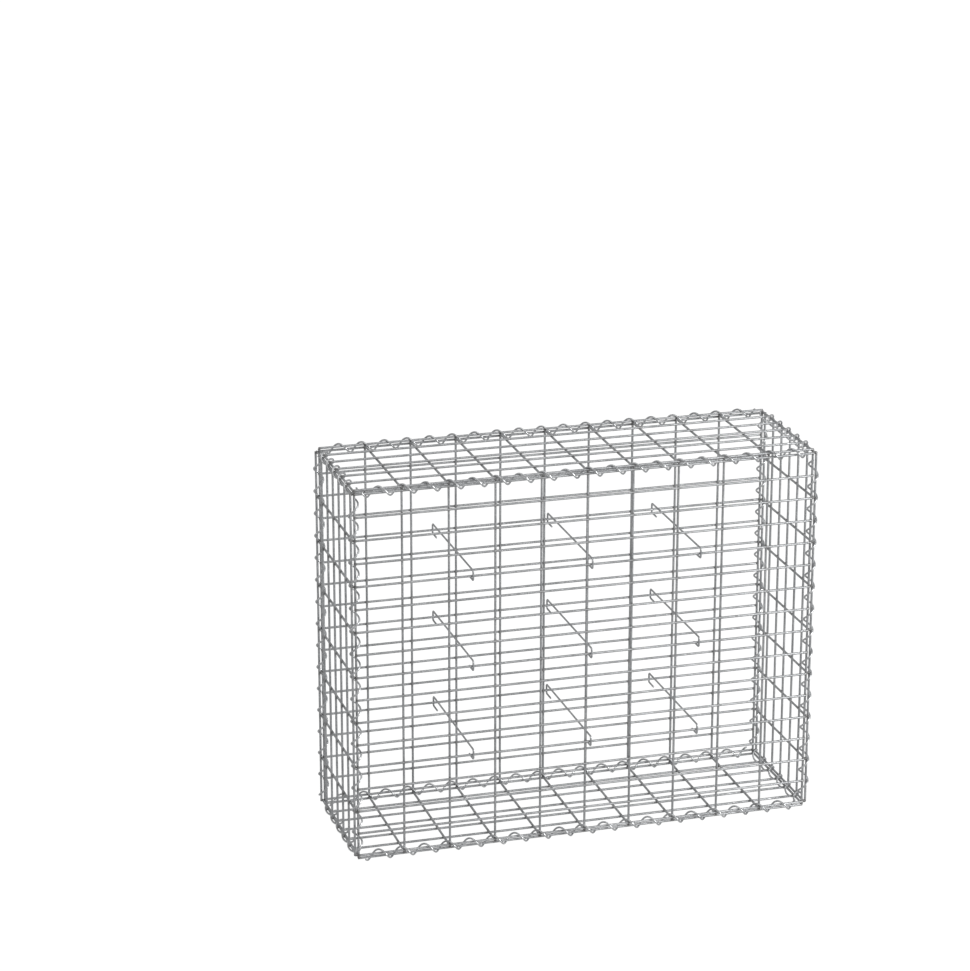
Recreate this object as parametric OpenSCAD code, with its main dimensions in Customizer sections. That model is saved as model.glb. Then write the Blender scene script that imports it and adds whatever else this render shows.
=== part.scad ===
// Gabion basket: six welded-mesh panels laced along every edge with spiral binders,
// and braced front to back by nine bent wire ties. Empty, as it is delivered for filling with stone.
// The origin is on the floor under the middle of the basket, x runs along the front, z is up.

/* [Basket] */
// Length of the front and back panels between their edge wires
basket_w = 1000; // [600:50:1400]
// Depth of the basket between the edge wires of the end panels
basket_d = 300; // [200:50:500]
// Height of the basket between the bottom and top edge wires of the front panel
basket_h = 800; // [500:50:1000]

/* [Mesh] */
// Spacing of the close wires, which lie on the outside of every panel
close_spacing = 50; // [40:5:70]
// Spacing of the wide wires, which lie on the inside of every panel
wide_spacing = 100; // [80:5:140]
// Diameter of the mesh wire
wire_d = 4; // [3:0.5:5]
// Depth that crossing wires sink into each other at a weld
weld_sink = 0.5; // [0.4:0.1:0.8]
// Stub of wire left past the edge wire where a panel is cut
end_stub = 0.2; // [0.1:0.1:1]
// Gap between panels that meet at an edge
seat_gap = 0.3; // [0.2:0.1:0.6]

/* [Spiral binders] */
// Outside diameter of a spiral
spiral_d = 24; // [22:0.5:28]
// Diameter of the spiral wire
spiral_wire_d = 3.5; // [2.5:0.5:4]
// Room between the spiral and the edge wire that it bears on
spiral_clearance = 0.25; // [0.2:0.05:0.6]
// Distance from a corner of the mesh to the cut end of a spiral
spiral_end_gap = 12.5; // [12.5:0.5:24]

/* [Ties] */
// Diameter of the tie wire
tie_wire_d = 3.5; // [2.5:0.5:4]
// Height of the tie shaft above the mesh wire that it hooks
tie_rise = 13; // [9:0.5:18]
// Depth of the hooked tail below that mesh wire
tie_drop = 9; // [8:0.5:15]
// Length of the tail that points back into the basket
tie_tail = 27; // [12:1:60]
// Inside radius of the bends in a tie
tie_bend = 2.5; // [2:0.25:4]
// Distance of the middle ties from the upright wire beside them
tie_beside = 10; // [6:1:30]
// Room between a tie and the mesh wire in its hook
tie_clearance = 0.3; // [0.2:0.05:0.6]

/* [Hidden] */

mesh_color = [0.62, 0.64, 0.65];
spiral_color = [0.70, 0.71, 0.72];
tie_color = [0.66, 0.67, 0.68];

// Wires are eight-sided bars with the same cross-section area as the round wire.
bar_sides = 8;
bar_flat = wire_d * sqrt(PI / (8 * tan(22.5)));
bar_corner = bar_flat / cos(180 / bar_sides);
layer = wire_d - weld_sink;
reach = bar_flat / 2 + end_stub;

// Bays of each panel: whole numbers, so the spacing settles a little around the nominal one.
close_x = round(basket_w / close_spacing);
close_y = round(basket_d / close_spacing);
close_z = round(basket_h / close_spacing);
wide_x = round(basket_w / wide_spacing);
wide_z = round(basket_h / wide_spacing);

// The ends, lid and base stand outboard of the front and back panels by this much.
outboard = bar_flat / 2 + reach + seat_gap;

// Each spiral runs around the two edge wires that meet there and bears on the outer one of them:
// its axis lies hang away from that wire, on the line to the other wire, or level on the short edges.
spiral_sides = 5;
spiral_steps = 8;
spiral_r = (spiral_d - spiral_wire_d) / 2;
spiral_flat = spiral_wire_d / 2 * cos(180 / spiral_sides);
hang = spiral_r * cos(180 / spiral_steps) - spiral_flat - spiral_clearance - bar_corner / 2;
pair = [layer, outboard + layer];
long_axis = [pair[0] * hang / norm(pair), pair[1] * (1 - hang / norm(pair))];
upright_axis = outboard + layer - hang;
short_axis = [outboard - sqrt(pow(hang, 2) - pow(outboard / 2, 2)), outboard / 2];

// The lowest points are the turns of the two long bottom spirals, which stand on the floor.
base_z = long_axis[1] + spiral_r + spiral_wire_d / 2;

// Angle at which each screwed-in spiral passes the wires that end at its edge, clear of them
top_front_phase = 70;
top_back_phase = 125;
bottom_front_phase = 118;
bottom_back_phase = 150;
front_left_phase = 142;
front_right_phase = -18;
back_left_phase = 75;
back_right_phase = 4;

// Ties hook the outer wires of the front and back panels.
tie_bend_r = tie_bend + tie_wire_d / 2;
tie_leg_y = basket_d / 2 + layer + bar_corner / 2 + tie_clearance + tie_wire_d / 2;
tie_left = -basket_w / 2 + basket_w / wide_x * (floor(wide_x / 4) + 0.5);
tie_middle = -basket_w / 2 + basket_w / wide_x * floor(wide_x / 2) + tie_beside;

// One mesh wire along z from the origin
module bar(length) {
    rotate([0, 0, 180 / bar_sides]) cylinder(h = length, d = bar_corner, $fn = bar_sides);
}

// Flat mesh panel in the x-y plane: close wires along x on the +z side, wide wires along y below them
module panel(length, width, close_count, wide_count) {
    union() {
        for (i = [0 : close_count])
            translate([-length / 2 - reach, -width / 2 + i * width / close_count, layer])
                rotate([0, 90, 0]) bar(length + 2 * reach);
        for (i = [0 : wide_count])
            translate([-length / 2 + i * length / wide_count, width / 2 + reach, 0])
                rotate([90, 0, 0]) bar(width + 2 * reach);
    }
}

// Front or back panel standing up, with its close wires on the outside; side is -1 in front, 1 behind
module long_wall(side) {
    color(mesh_color)
        translate([0, side * basket_d / 2, base_z + basket_h / 2])
            rotate([-side * 90, 0, 0]) panel(basket_w, basket_h, close_z, wide_x);
}

// End panel standing up, with upright close wires on the outside; side is -1 on the left, 1 on the right
module end_wall(side) {
    color(mesh_color)
        translate([side * (basket_w / 2 + outboard), 0, base_z + basket_h / 2])
            rotate([0, side * 90, 0]) panel(basket_h, basket_d, close_y, wide_z);
}

// Lid or base, with its long close wires on the outside
module flat_panel(side) {
    z = side > 0 ? basket_h + outboard : -outboard;
    color(mesh_color)
        translate([0, 0, base_z + z])
            rotate([side > 0 ? 0 : 180, 0, 0]) panel(basket_w, basket_d, close_y, wide_x);
}

// Right-handed spiral along z, one turn to each bay of close mesh, at the angle phase where a bay starts.
// The rings of the swept section stand square to the wire, at whole eighths of a turn.
module spiral(length, turns, phase) {
    pitch = length / turns;
    step = 360 / spiral_steps;
    first = ceil((phase + 360 * spiral_end_gap / pitch) / step - 0.001);
    last = floor((phase + 360 * (length - spiral_end_gap) / pitch) / step + 0.001);
    slope = atan2(pitch / (2 * PI), spiral_r);
    points = [for (i = [first : last]) for (k = [0 : spiral_sides - 1])
        let (turn = i * step,
             around = 360 * k / spiral_sides,
             out = spiral_r + spiral_wire_d / 2 * cos(around),
             side = spiral_wire_d / 2 * sin(around))
        [out * cos(turn) + side * sin(slope) * sin(turn),
         out * sin(turn) - side * sin(slope) * cos(turn),
         pitch * (turn - phase) / 360 + side * cos(slope)]];
    rings = last - first;
    walls = [for (i = [0 : rings - 1]) for (k = [0 : spiral_sides - 1])
        let (a = i * spiral_sides + k,
             b = i * spiral_sides + (k + 1) % spiral_sides)
        each [[a, a + spiral_sides, b], [b, a + spiral_sides, b + spiral_sides]]];
    start_cap = [for (k = [0 : spiral_sides - 1]) k];
    end_cap = [for (k = [0 : spiral_sides - 1]) rings * spiral_sides + spiral_sides - 1 - k];
    color(spiral_color) polyhedron(points = points, faces = concat(walls, [start_cap, end_cap]));
}

// Spiral along a long edge: front -1 or back 1, bottom -1 or top 1; phase 0 is towards the back, 90 is up
module long_spiral(front, top, phase) {
    z = top > 0 ? basket_h + long_axis[1] : -long_axis[1];
    translate([-basket_w / 2, front * (basket_d / 2 + long_axis[0]), base_z + z])
        rotate([0, 90, 0]) rotate([0, 0, 90]) spiral(basket_w, close_x, phase);
}

// Spiral along an upright edge: front -1 or back 1, left -1 or right 1; phase 0 is to the right, 90 is back
module upright_spiral(front, right, phase) {
    translate([right * (basket_w / 2 + upright_axis), front * basket_d / 2, base_z])
        spiral(basket_h, close_z, phase);
}

// Spiral along a short edge: bottom -1 or top 1, left -1 or right 1; it starts on its outer diagonal
module short_spiral(top, right) {
    z = top > 0 ? basket_h + short_axis[1] : -short_axis[1];
    translate([right * (basket_w / 2 + short_axis[0]), -basket_d / 2, base_z + z])
        rotate([-90, 0, 0]) spiral(basket_d, close_y, atan2(-top, right));
}

// Quarter bend in the y-z plane, from pointing along +y to pointing down
module tie_corner() {
    rotate([0, -90, 0]) rotate_extrude(angle = 90, $fn = 48)
        translate([tie_bend_r, 0]) circle(d = tie_wire_d, $fn = 24);
}

// One hooked end, from the middle of the shaft to the tip of the tail, on the +y side
module tie_half() {
    drop = tie_rise + tie_drop;
    straight = tie_leg_y - tie_bend_r;
    translate([0, 0, tie_rise]) rotate([-90, 0, 0]) cylinder(h = straight, d = tie_wire_d, $fn = 24);
    translate([0, straight, tie_rise - tie_bend_r]) tie_corner();
    translate([0, tie_leg_y, -tie_drop + tie_bend_r])
        cylinder(h = drop - 2 * tie_bend_r, d = tie_wire_d, $fn = 24);
    translate([0, straight, -tie_drop + tie_bend_r]) mirror([0, 0, 1]) tie_corner();
    translate([0, straight - tie_tail, -tie_drop])
        rotate([-90, 0, 0]) cylinder(h = tie_tail, d = tie_wire_d, $fn = 24);
}

// Tie across the basket at x, hooked on the close wires at one, two or three quarters of the height
module tie(x, quarter) {
    color(tie_color)
        translate([x, 0, base_z + basket_h / close_z * round(close_z * quarter / 4)])
            union() {
                tie_half();
                mirror([0, 1, 0]) tie_half();
            }
}

module front_panel() { long_wall(-1); }
module back_panel() { long_wall(1); }
module left_panel() { end_wall(-1); }
module right_panel() { end_wall(1); }
module top_panel() { flat_panel(1); }
module bottom_panel() { flat_panel(-1); }
module spiral_top_front() { long_spiral(-1, 1, top_front_phase); }
module spiral_top_back() { long_spiral(1, 1, top_back_phase); }
module spiral_bottom_front() { long_spiral(-1, -1, bottom_front_phase); }
module spiral_bottom_back() { long_spiral(1, -1, bottom_back_phase); }
module spiral_front_left() { upright_spiral(-1, -1, front_left_phase); }
module spiral_front_right() { upright_spiral(-1, 1, front_right_phase); }
module spiral_back_left() { upright_spiral(1, -1, back_left_phase); }
module spiral_back_right() { upright_spiral(1, 1, back_right_phase); }
module spiral_top_left() { short_spiral(1, -1); }
module spiral_top_right() { short_spiral(1, 1); }
module spiral_bottom_left() { short_spiral(-1, -1); }
module spiral_bottom_right() { short_spiral(-1, 1); }
module tie_low_left() { tie(tie_left, 1); }
module tie_low_middle() { tie(tie_middle, 1); }
module tie_low_right() { tie(-tie_left, 1); }
module tie_mid_left() { tie(tie_left, 2); }
module tie_mid_middle() { tie(tie_middle, 2); }
module tie_mid_right() { tie(-tie_left, 2); }
module tie_high_left() { tie(tie_left, 3); }
module tie_high_middle() { tie(tie_middle, 3); }
module tie_high_right() { tie(-tie_left, 3); }

front_panel();
back_panel();
left_panel();
right_panel();
top_panel();
bottom_panel();
spiral_top_front();
spiral_top_back();
spiral_bottom_front();
spiral_bottom_back();
spiral_front_left();
spiral_front_right();
spiral_back_left();
spiral_back_right();
spiral_top_left();
spiral_top_right();
spiral_bottom_left();
spiral_bottom_right();
tie_low_left();
tie_low_middle();
tie_low_right();
tie_mid_left();
tie_mid_middle();
tie_mid_right();
tie_high_left();
tie_high_middle();
tie_high_right();
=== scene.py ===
import bpy
import numpy as np
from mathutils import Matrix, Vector


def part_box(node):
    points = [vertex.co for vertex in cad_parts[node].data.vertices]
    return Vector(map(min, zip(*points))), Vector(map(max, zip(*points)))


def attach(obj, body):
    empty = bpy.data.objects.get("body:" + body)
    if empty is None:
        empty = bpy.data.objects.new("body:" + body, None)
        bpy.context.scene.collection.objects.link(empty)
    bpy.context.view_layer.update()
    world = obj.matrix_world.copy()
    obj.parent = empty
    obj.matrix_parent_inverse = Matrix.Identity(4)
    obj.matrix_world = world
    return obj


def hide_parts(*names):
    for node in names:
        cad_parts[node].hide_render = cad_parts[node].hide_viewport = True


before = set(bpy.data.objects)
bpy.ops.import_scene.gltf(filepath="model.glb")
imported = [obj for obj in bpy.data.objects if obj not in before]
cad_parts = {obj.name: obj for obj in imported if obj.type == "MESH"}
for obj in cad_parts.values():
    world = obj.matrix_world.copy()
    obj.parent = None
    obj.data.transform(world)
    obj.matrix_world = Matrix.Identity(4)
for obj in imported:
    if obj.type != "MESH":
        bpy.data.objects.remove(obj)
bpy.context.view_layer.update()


# Front and back panels.
# Each is a flat sheet of hard-drawn steel wire, welded where the wires cross and then dipped in zinc.
# Close wires run along the outside of the sheet, and wide-spaced uprights stand behind them.
MESH_WIRE = 0.005
LAYER = 0.0035
CLOSE_SPACING = 0.05
WIDE_SPACING = 0.1
TRIM = 0.0016
CUT_BEVEL = 0.0004
BEVEL_SHARE = 0.8
MESH_SIDES = 12
RINGS_AT_WELD = np.array([-0.008, -0.0035, 0.0035, 0.008])
WELD_FADE = 0.005
BOW = 0.00012
SIDEWAYS_CYCLES = (1.5, 3.5)
SECOND_SHARE = 0.6
OUTWARD_CYCLES = 2.5
OUTWARD_SHARE = 0.4
COLLAR_RADIUS = 0.0034
COLLAR_HALF_HEIGHT = 0.0014
COLLAR_RISE = np.array([-0.85, -0.45, 0.0, 0.45, 0.85])
COLLAR_SPREAD = (0.88, 1.06)
COLLAR_SIDES = 8
RIGHT = np.array([1.0, 0.0, 0.0])
BACK = np.array([0.0, 1.0, 0.0])
UP = np.array([0.0, 0.0, 1.0])
draws = np.random.default_rng(4387)


def node_box(node):
    """Lowest and highest corners of a node at rest, as arrays."""
    low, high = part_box(node)
    return np.array(low), np.array(high)


def swept_wires(paths, radius, across, sides):
    """Circles carried along paths of shape (wires, rings, 3). Ring i holds
    path[i] + radius[i] (cos t a + sin t b), where a is across made square to the path
    and b is the path's direction crossed with a."""
    ahead = np.gradient(paths, axis=1)
    ahead /= np.linalg.norm(ahead, axis=2, keepdims=True)
    a = across - np.sum(across * ahead, axis=2, keepdims=True) * ahead
    a /= np.linalg.norm(a, axis=2, keepdims=True)
    b = np.cross(ahead, a)
    turn = np.linspace(0, 2 * np.pi, sides, endpoint=False)[:, None]
    rings = np.cos(turn) * a[:, :, None] + np.sin(turn) * b[:, :, None]
    return paths[:, :, None] + np.reshape(radius, (1, -1, 1, 1)) * rings


def bevelled(places):
    """Ring places along a wire with both cut ends bevelled, and the share of the full radius at each."""
    start = places[0]
    stop = places[-1]
    inner = places[(places > start + 2 * CUT_BEVEL) & (places < stop - 2 * CUT_BEVEL)]
    places = np.concatenate([[start, start + CUT_BEVEL], inner, [stop - CUT_BEVEL, stop]])
    share = np.ones(len(places))
    share[[0, -1]] = BEVEL_SHARE
    return places, share


def layer_of_wires(starts, line, out, crossings):
    """Like wires side by side, from TRIM before their first crossing to TRIM past the last.
    Each path is a straight line plus a faint bow: two slow sines sideways and one outward,
    with phases of its own. The weld mask is a bell at each crossing."""
    middles = (crossings[1:] + crossings[:-1]) / 2
    ends = [crossings[0] - TRIM, crossings[-1] + TRIM]
    places = np.concatenate([(crossings[:, None] + RINGS_AT_WELD).ravel(), middles, ends])
    places = np.unique(places[(places >= ends[0]) & (places <= ends[1])])
    places, share = bevelled(places)
    cycles = 2 * np.pi * places / (crossings[-1] - crossings[0])
    phase = draws.uniform(0, 2 * np.pi, (3, len(starts), 1))
    first_wave = np.sin(SIDEWAYS_CYCLES[0] * cycles + phase[0])
    second_wave = np.sin(SIDEWAYS_CYCLES[1] * cycles + phase[1])
    sideways = BOW * (first_wave + SECOND_SHARE * second_wave)
    outward = OUTWARD_SHARE * BOW * np.sin(OUTWARD_CYCLES * cycles + phase[2])
    paths = (starts[:, None] + places[:, None] * line + sideways[..., None] * np.cross(line, out)
             + outward[..., None] * out)
    wires = swept_wires(paths, MESH_WIRE / 2 * share, np.broadcast_to(out, paths.shape), MESH_SIDES)
    away = np.abs(places[:, None] - crossings).min(axis=1)
    weld = np.exp(-(away / WELD_FADE) ** 2)
    return wires, np.broadcast_to(weld[:, None], wires.shape[:3])


def weld_collars(centres, line, out):
    """The metal squeezed out round each weld: a flat lens of rings stacked along out, each
    sqrt(1 - h h) of the full width at the height h."""
    width = np.sqrt(1 - COLLAR_RISE ** 2)
    turn = np.linspace(0, 2 * np.pi, COLLAR_SIDES, endpoint=False)[:, None]
    around = np.cos(turn) * line + np.sin(turn) * np.cross(out, line)
    size = COLLAR_RADIUS * draws.uniform(*COLLAR_SPREAD, (len(centres), 1, 1, 1))
    stack = COLLAR_HALF_HEIGHT * COLLAR_RISE[:, None, None] * out
    collars = centres[:, None, None] + size * width[:, None, None] * around + stack
    return collars, np.ones(collars.shape[:3])


def welded_sheet(corner, line, cross, out, line_wide, cross_close):
    """A flat panel from the crossing at corner. Close wires follow line in the outer layer,
    one for each step of cross_close, and wide-spaced wires follow cross in the inner layer,
    one for each step of line_wide."""
    corner = np.asarray(corner, float)
    close = layer_of_wires(corner + LAYER * out + cross_close[:, None] * cross, line, out, line_wide)
    wide = layer_of_wires(corner + line_wide[:, None] * line, cross, out, cross_close)
    centres = corner + LAYER / 2 * out + line_wide[:, None, None] * line + cross_close[:, None] * cross
    return [close, wide, weld_collars(centres.reshape(-1, 3), line, out)]


def wire_piece(name, grids, material, node):
    """One mesh object from closed tubes: grids of (points, weld mask), with points shaped
    (tubes, rings, sides, 3). Neighbouring rings are joined by quads, and each tube's first
    and last ring is capped."""
    points = np.concatenate([grid.reshape(-1, 3) for grid, _ in grids])
    weld = np.concatenate([mask.ravel() for _, mask in grids])
    faces = []
    first = 0
    for grid, _ in grids:
        index = first + np.arange(grid[..., 0].size).reshape(grid.shape[:3])
        after = np.roll(index, -1, axis=2)
        quads = np.stack([index[:, :-1], after[:, :-1], after[:, 1:], index[:, 1:]], axis=-1)
        faces += quads.reshape(-1, 4).tolist()
        faces += index[:, 0, ::-1].tolist()
        faces += index[:, -1].tolist()
        first += index.size
    mesh = bpy.data.meshes.new(name)
    mesh.from_pydata(points.tolist(), [], faces)
    mesh.attributes.new("weld", "FLOAT", "POINT").data.foreach_set("value", weld.astype(np.float32))
    mesh.shade_smooth()
    mesh.materials.append(material)
    piece = bpy.data.objects.new(name, mesh)
    bpy.context.scene.collection.objects.link(piece)
    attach(piece, "root")
    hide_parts(node)


# The zinc coat that all the wires share: spangle crystals over a slow drift of tone, dull bloom in patches,
# a darker, rougher ring round each weld, and the small runs and grit that the bath leaves.
SCORCH = (0.21, 0.205, 0.2, 1.0)
METAL_SHARE = 0.85
BUMP_DEPTH = 0.0002
zinc = bpy.data.node_groups.new("zinc_coat", "ShaderNodeTree")
for label in ("Light", "Dark", "Scorch"):
    zinc.interface.new_socket(name=label, in_out="INPUT", socket_type="NodeSocketColor")
for label in ("Spangle", "Gloss", "Weld"):
    zinc.interface.new_socket(name=label, in_out="INPUT", socket_type="NodeSocketFloat")
zinc.interface.new_socket(name="Color", in_out="OUTPUT", socket_type="NodeSocketColor")
for label in ("Roughness", "Height"):
    zinc.interface.new_socket(name=label, in_out="OUTPUT", socket_type="NodeSocketFloat")
link = zinc.links.new
coat_in = zinc.nodes.new("NodeGroupInput").outputs
coat_out = zinc.nodes.new("NodeGroupOutput").inputs
place = zinc.nodes.new("ShaderNodeTexCoord").outputs["Object"]


def noise(scale, detail):
    """A noise of the zinc group in object coordinates, as its value socket."""
    node = zinc.nodes.new("ShaderNodeTexNoise")
    node.inputs["Scale"].default_value = scale
    node.inputs["Detail"].default_value = detail
    link(place, node.inputs["Vector"])
    return node.outputs["Fac"]


def stretch(value, low, high, to_low, to_high):
    """Maps a value's range low to high onto to_low to to_high, clamped."""
    node = zinc.nodes.new("ShaderNodeMapRange")
    node.inputs["From Min"].default_value = low
    node.inputs["From Max"].default_value = high
    node.inputs["To Min"].default_value = to_low
    node.inputs["To Max"].default_value = to_high
    link(value, node.inputs["Value"])
    return node.outputs["Result"]


def sums(first, second, share):
    """first + share times second."""
    node = zinc.nodes.new("ShaderNodeMath")
    node.operation = "MULTIPLY_ADD"
    link(second, node.inputs[0])
    node.inputs[1].default_value = share
    link(first, node.inputs[2])
    return node.outputs["Value"]


def blend(factor, first, second):
    """Colour mix from first to second by factor."""
    node = zinc.nodes.new("ShaderNodeMix")
    node.data_type = "RGBA"
    link(factor, node.inputs["Factor"])
    link(first, node.inputs["A"])
    link(second, node.inputs["B"])
    return node.outputs["Result"]


crystals = zinc.nodes.new("ShaderNodeTexVoronoi")
link(place, crystals.inputs["Vector"])
link(coat_in["Spangle"], crystals.inputs["Scale"])
facet = zinc.nodes.new("ShaderNodeSeparateColor")
link(crystals.outputs["Color"], facet.inputs["Color"])
drift = noise(scale=16.0, detail=4.0)
patches = stretch(noise(scale=60.0, detail=5.0), low=0.42, high=0.68, to_low=0.0, to_high=1.0)
grit = noise(scale=1100.0, detail=2.0)
mottle = sums(drift, facet.outputs["Red"], share=0.35)
tone = stretch(mottle, low=0.45, high=0.9, to_low=0.0, to_high=1.0)
plain = blend(tone, coat_in["Dark"], coat_in["Light"])
ragged = sums(coat_in["Weld"], grit, share=0.3)
ring = stretch(ragged, low=0.35, high=1.2, to_low=0.0, to_high=0.8)
link(blend(ring, plain, coat_in["Scorch"]), coat_out["Color"])
bloomed = sums(coat_in["Gloss"], patches, share=0.16)
scorched = sums(bloomed, ring, share=0.18)
link(sums(scorched, facet.outputs["Green"], share=0.08), coat_out["Roughness"])
runs = sums(drift, patches, share=0.4)
link(sums(runs, grit, share=0.5), coat_out["Height"])


def galvanised(name, light, dark, spangle, gloss, relief):
    """Zinc-coated wire: the coat group drives colour, roughness and a fine bump on a metal shader."""
    material = bpy.data.materials.new(name)
    material.use_nodes = True
    nodes = material.node_tree.nodes
    links = material.node_tree.links
    shader = nodes["Principled BSDF"]
    coat = nodes.new("ShaderNodeGroup")
    coat.node_tree = zinc
    coat.inputs["Light"].default_value = (*light, 1.0)
    coat.inputs["Dark"].default_value = (*dark, 1.0)
    coat.inputs["Scorch"].default_value = SCORCH
    coat.inputs["Spangle"].default_value = spangle
    coat.inputs["Gloss"].default_value = gloss
    weld_mask = nodes.new("ShaderNodeAttribute")
    weld_mask.attribute_name = "weld"
    bump = nodes.new("ShaderNodeBump")
    bump.inputs["Strength"].default_value = relief
    bump.inputs["Distance"].default_value = BUMP_DEPTH
    links.new(weld_mask.outputs["Fac"], coat.inputs["Weld"])
    links.new(coat.outputs["Height"], bump.inputs["Height"])
    links.new(coat.outputs["Color"], shader.inputs["Base Color"])
    links.new(coat.outputs["Roughness"], shader.inputs["Roughness"])
    links.new(bump.outputs["Normal"], shader.inputs["Normal"])
    shader.inputs["Metallic"].default_value = METAL_SHARE
    return material


mesh_zinc = galvanised("mesh_zinc", light=(0.54, 0.55, 0.56), dark=(0.35, 0.36, 0.37),
                       spangle=420.0, gloss=0.3, relief=0.35)
front_low, front_high = node_box("front_panel")
front_size = front_high - front_low
half_w = WIDE_SPACING * np.floor(front_size[0] / WIDE_SPACING) / 2
half_d = -(front_low[1] + front_high[1]) / 2 - LAYER / 2
height = WIDE_SPACING * np.floor(front_size[2] / WIDE_SPACING)
base = (front_low[2] + front_high[2] - height) / 2
wide_along = np.linspace(0, 2 * half_w, round(2 * half_w / WIDE_SPACING) + 1)
close_up = np.linspace(0, height, round(height / CLOSE_SPACING) + 1)
for node, way in (("front_panel", -1), ("back_panel", 1)):
    sheet = welded_sheet((-half_w, way * half_d, base), RIGHT, UP, way * BACK, wide_along, close_up)
    wire_piece(node.replace("panel", "mesh"), sheet, mesh_zinc, node)


# End panels.
# The same welded mesh with its close wires upright. They stand just outside the ends of the long panels,
# so that two edge wires lie side by side at each corner for a spiral to hold.
wide_up = np.linspace(0, height, round(height / WIDE_SPACING) + 1)
close_back = np.linspace(0, 2 * half_d, round(2 * half_d / CLOSE_SPACING) + 1)
for node, way in (("left_panel", -1), ("right_panel", 1)):
    low, high = node_box(node)
    inner_x = (low[0] + high[0]) / 2 - way * LAYER / 2
    sheet = welded_sheet((inner_x, -half_d, base), UP, BACK, way * RIGHT, wide_up, close_back)
    wire_piece(node.replace("panel", "mesh"), sheet, mesh_zinc, node)


# Base and lid.
# Two more welded sheets, with long close wires outside and cross wires inside. The lid lies on the upper
# edges once the basket is full, and the base is laced under the walls in the same way.
for node, way in (("bottom_panel", -1), ("top_panel", 1)):
    low, high = node_box(node)
    inner_z = (low[2] + high[2]) / 2 - way * LAYER / 2
    sheet = welded_sheet((-half_w, -half_d, inner_z), RIGHT, BACK, way * UP, wide_along, close_back)
    wire_piece(node.replace("panel", "mesh"), sheet, mesh_zinc, node)


# Spiral binders.
# Each is a right-handed coil of springy galvanised wire, screwed in from one end round the
# two edge wires that meet there. It makes one turn in each close bay and is cut off just
# short of the corners. The phases are its start angles in degrees.
SPIRAL_WIRE = 0.004
STEPS_PER_TURN = 32
SPIRAL_SIDES = 12
END_GAP = 0.0125
LONG_PHASES = {"top_front": 70, "top_back": 125, "bottom_front": 118, "bottom_back": 150}
UPRIGHT_PHASES = {"front_left": 142, "front_right": -18, "back_left": 75, "back_right": 4}
SHORT_PHASES = {"top_left": -45, "top_right": 45, "bottom_left": 225, "bottom_right": 135}
spiral_zinc = galvanised("spiral_zinc", light=(0.72, 0.73, 0.74), dark=(0.44, 0.45, 0.46),
                         spangle=520.0, gloss=0.2, relief=0.25)
coil_low, coil_high = node_box("spiral_top_front")
coil_radius = (coil_high[2] - coil_low[2] - SPIRAL_WIRE) / 2


def spiral_binder(edge, start, line, first, second, length, phase):
    """A helix about line: start + s line + R (cos a first + sin a second), where the angle a
    turns once in each close bay."""
    steps = round((length - 2 * END_GAP) / CLOSE_SPACING * STEPS_PER_TURN)
    places, share = bevelled(np.linspace(END_GAP, length - END_GAP, steps + 1))
    angle = np.radians(phase) + 2 * np.pi * places / CLOSE_SPACING
    spoke = np.cos(angle)[:, None] * first + np.sin(angle)[:, None] * second
    path = start + places[:, None] * line + coil_radius * spoke
    coil = swept_wires(path[None], SPIRAL_WIRE / 2 * share, spoke[None], SPIRAL_SIDES)
    no_weld = np.zeros(coil.shape[:3])
    wire_piece(edge + "_spiral", [(coil, no_weld)], spiral_zinc, "spiral_" + edge)


def edge_axis(edge, line):
    """The middle of a spiral's own node, moved along line to the frame's zero."""
    low, high = node_box("spiral_" + edge)
    return (low + high) / 2 * (1 - line)


for edge, phase in LONG_PHASES.items():
    spiral_binder(edge, edge_axis(edge, RIGHT) - half_w * RIGHT, RIGHT, BACK, UP, 2 * half_w, phase)
for edge, phase in UPRIGHT_PHASES.items():
    spiral_binder(edge, edge_axis(edge, UP) + base * UP, UP, RIGHT, BACK, height, phase)
for edge, phase in SHORT_PHASES.items():
    spiral_binder(edge, edge_axis(edge, BACK) - half_d * BACK, BACK, UP, RIGHT, 2 * half_d, phase)


# Ties.
# Nine lengths of softer wire run from front to back. Each end is bent down outside a close
# wire and back in below it, so that the stone can't push the two long panels apart.
TIE_WIRE = 0.004
TIE_BEND = 0.00425
TIE_TAIL = 0.027
TIE_OUTWARD = 0.0004
TAIL_SHARES = np.array([0.3, 0.65])
TIE_SIDES = 14
SHAFT_RINGS = 14
BEND_RINGS = 9
tie_zinc = galvanised("tie_zinc", light=(0.55, 0.56, 0.57), dark=(0.36, 0.37, 0.38),
                      spangle=480.0, gloss=0.28, relief=0.3)


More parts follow.
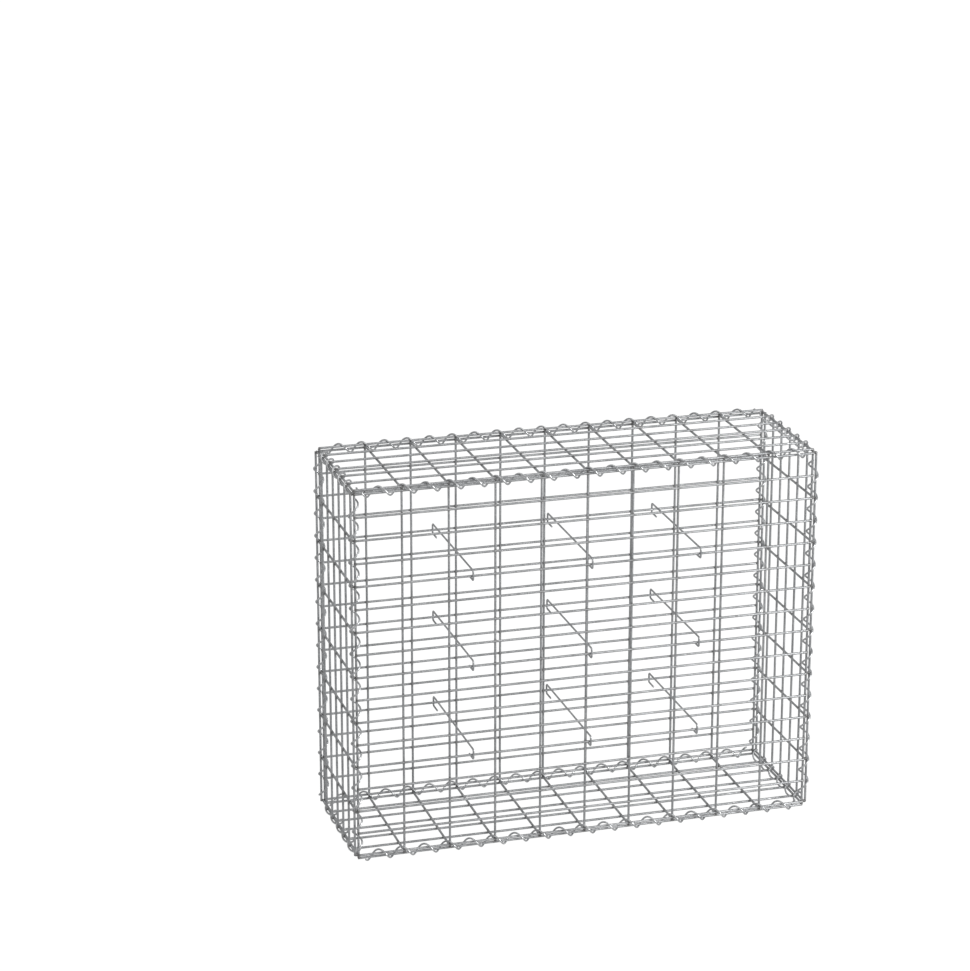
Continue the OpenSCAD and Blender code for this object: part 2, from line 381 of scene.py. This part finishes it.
def tie_wire(node):
    """Shaft, bend, leg, bend and tail of the back half as one path in the y-z plane, the bends
    quarter circles of radius TIE_BEND, and the mirror image of it in front."""
    low, high = node_box(node)
    shaft_z = high[2] - TIE_WIRE / 2
    tail_z = low[2] + TIE_WIRE / 2
    turn_y = high[1] - TIE_WIRE / 2 + TIE_OUTWARD - TIE_BEND
    quarter = np.linspace(0, np.pi / 2, BEND_RINGS)
    sine = TIE_BEND * np.sin(quarter)
    cosine = TIE_BEND * np.cos(quarter)
    upper = np.stack([turn_y + sine, shaft_z - TIE_BEND + cosine], axis=1)
    lower = np.stack([turn_y + cosine, tail_z + TIE_BEND - sine], axis=1)
    shaft_y = np.linspace(0, turn_y, SHAFT_RINGS)[:-1]
    shaft = np.stack([shaft_y, np.full(len(shaft_y), shaft_z)], axis=1)
    tail_y = turn_y - np.concatenate([TAIL_SHARES * TIE_TAIL, [TIE_TAIL - CUT_BEVEL, TIE_TAIL]])
    tail = np.stack([tail_y, np.full(len(tail_y), tail_z)], axis=1)
    half = np.concatenate([shaft, upper, lower, tail])
    plane = np.concatenate([half[:0:-1] * (-1, 1), half])
    path = (low[0] + high[0]) / 2 * RIGHT + plane[:, :1] * BACK + plane[:, 1:] * UP
    share = np.ones(len(path))
    share[[0, -1]] = BEVEL_SHARE
    across = np.broadcast_to(RIGHT, (1, *path.shape))
    wire = swept_wires(path[None], TIE_WIRE / 2 * share, across, TIE_SIDES)
    return wire, np.zeros(wire.shape[:3])


for row in ("low", "mid", "high"):
    for column in ("left", "middle", "right"):
        node = f"tie_{row}_{column}"
        wire_piece(f"{row}_{column}_tie", [tie_wire(node)], tie_zinc, node)


# Floor, light and camera.
# A plain floor that glows white and stays out of the wires' reflections, an almost even grey
# surround and two large softboxes. A long lens looks down at the basket from the front left.
FLOOR_HALF = 40.0
FLOOR_TONE = (0.12, 0.12, 0.12, 1.0)
FLOOR_ROUGHNESS = 0.9
FLOOR_GLOW = 0.95
WHITE = (1.0, 1.0, 1.0, 1.0)
SURROUND_LOW = 0.52
SURROUND_HIGH = 0.5
LIFT_FROM = -0.5
LIFT_TO = 0.7
floor_white = bpy.data.materials.new("floor_white")
floor_white.use_nodes = True
floor_shader = floor_white.node_tree.nodes["Principled BSDF"]
floor_shader.inputs["Base Color"].default_value = FLOOR_TONE
floor_shader.inputs["Roughness"].default_value = FLOOR_ROUGHNESS
floor_shader.inputs["Emission Color"].default_value = WHITE
floor_shader.inputs["Emission Strength"].default_value = FLOOR_GLOW
floor_mesh = bpy.data.meshes.new("floor")
corners = FLOOR_HALF * np.array([[-1, -1, 0], [1, -1, 0], [1, 1, 0], [-1, 1, 0]])
floor_mesh.from_pydata(corners.tolist(), [], [(0, 1, 2, 3)])
floor_mesh.materials.append(floor_white)
floor = bpy.data.objects.new("floor", floor_mesh)
floor.visible_glossy = False
floor.visible_diffuse = False
bpy.context.scene.collection.objects.link(floor)

surround = bpy.data.worlds.new("surround")
surround.use_nodes = True
sky_nodes = surround.node_tree.nodes
sky_links = surround.node_tree.links
direction = sky_nodes.new("ShaderNodeSeparateXYZ")
sky_links.new(sky_nodes.new("ShaderNodeTexCoord").outputs["Generated"], direction.inputs["Vector"])
lift = sky_nodes.new("ShaderNodeMapRange")
lift.interpolation_type = "SMOOTHSTEP"
lift.inputs["From Min"].default_value = LIFT_FROM
lift.inputs["From Max"].default_value = LIFT_TO
lift.inputs["To Min"].default_value = SURROUND_LOW
lift.inputs["To Max"].default_value = SURROUND_HIGH
sky_links.new(direction.outputs["Z"], lift.inputs["Value"])
sky_links.new(lift.outputs["Result"], sky_nodes["Background"].inputs["Strength"])
sky_nodes["Background"].inputs["Color"].default_value = WHITE
bpy.context.scene.world = surround
bpy.context.scene.view_settings.view_transform = "Standard"


def softbox(name, place, size, power):
    """A square area light at place, aimed at the middle of the basket."""
    light = bpy.data.lights.new(name, "AREA")
    light.size = size
    light.energy = power
    lamp = bpy.data.objects.new(name, light)
    lamp.location = place
    aim = Vector((0.0, 0.0, base + height / 2)) - lamp.location
    lamp.rotation_euler = aim.to_track_quat("-Z", "Y").to_euler()
    bpy.context.scene.collection.objects.link(lamp)


softbox("key_light", place=(2.8, -3.0, 1.6), size=1.8, power=130.0)
softbox("top_light", place=(-0.6, -0.6, 3.2), size=1.6, power=12.0)

IMAGE_WIDTH = 970
FOCAL_PIXELS = 3278.84
EYE = np.array([-2.02664, -6.29953, 2.88457]) + base * UP
LOOK_RIGHT = np.radians(16.351)
LOOK_DOWN = np.radians(18.072)
lens = bpy.data.cameras.new("camera")
lens.sensor_fit = "HORIZONTAL"
lens.lens = lens.sensor_width * FOCAL_PIXELS / IMAGE_WIDTH
camera = bpy.data.objects.new("camera", lens)
camera.location = EYE
camera.rotation_euler = (np.pi / 2 - LOOK_DOWN, 0.0, -LOOK_RIGHT)
bpy.context.scene.collection.objects.link(camera)
bpy.context.scene.camera = camera
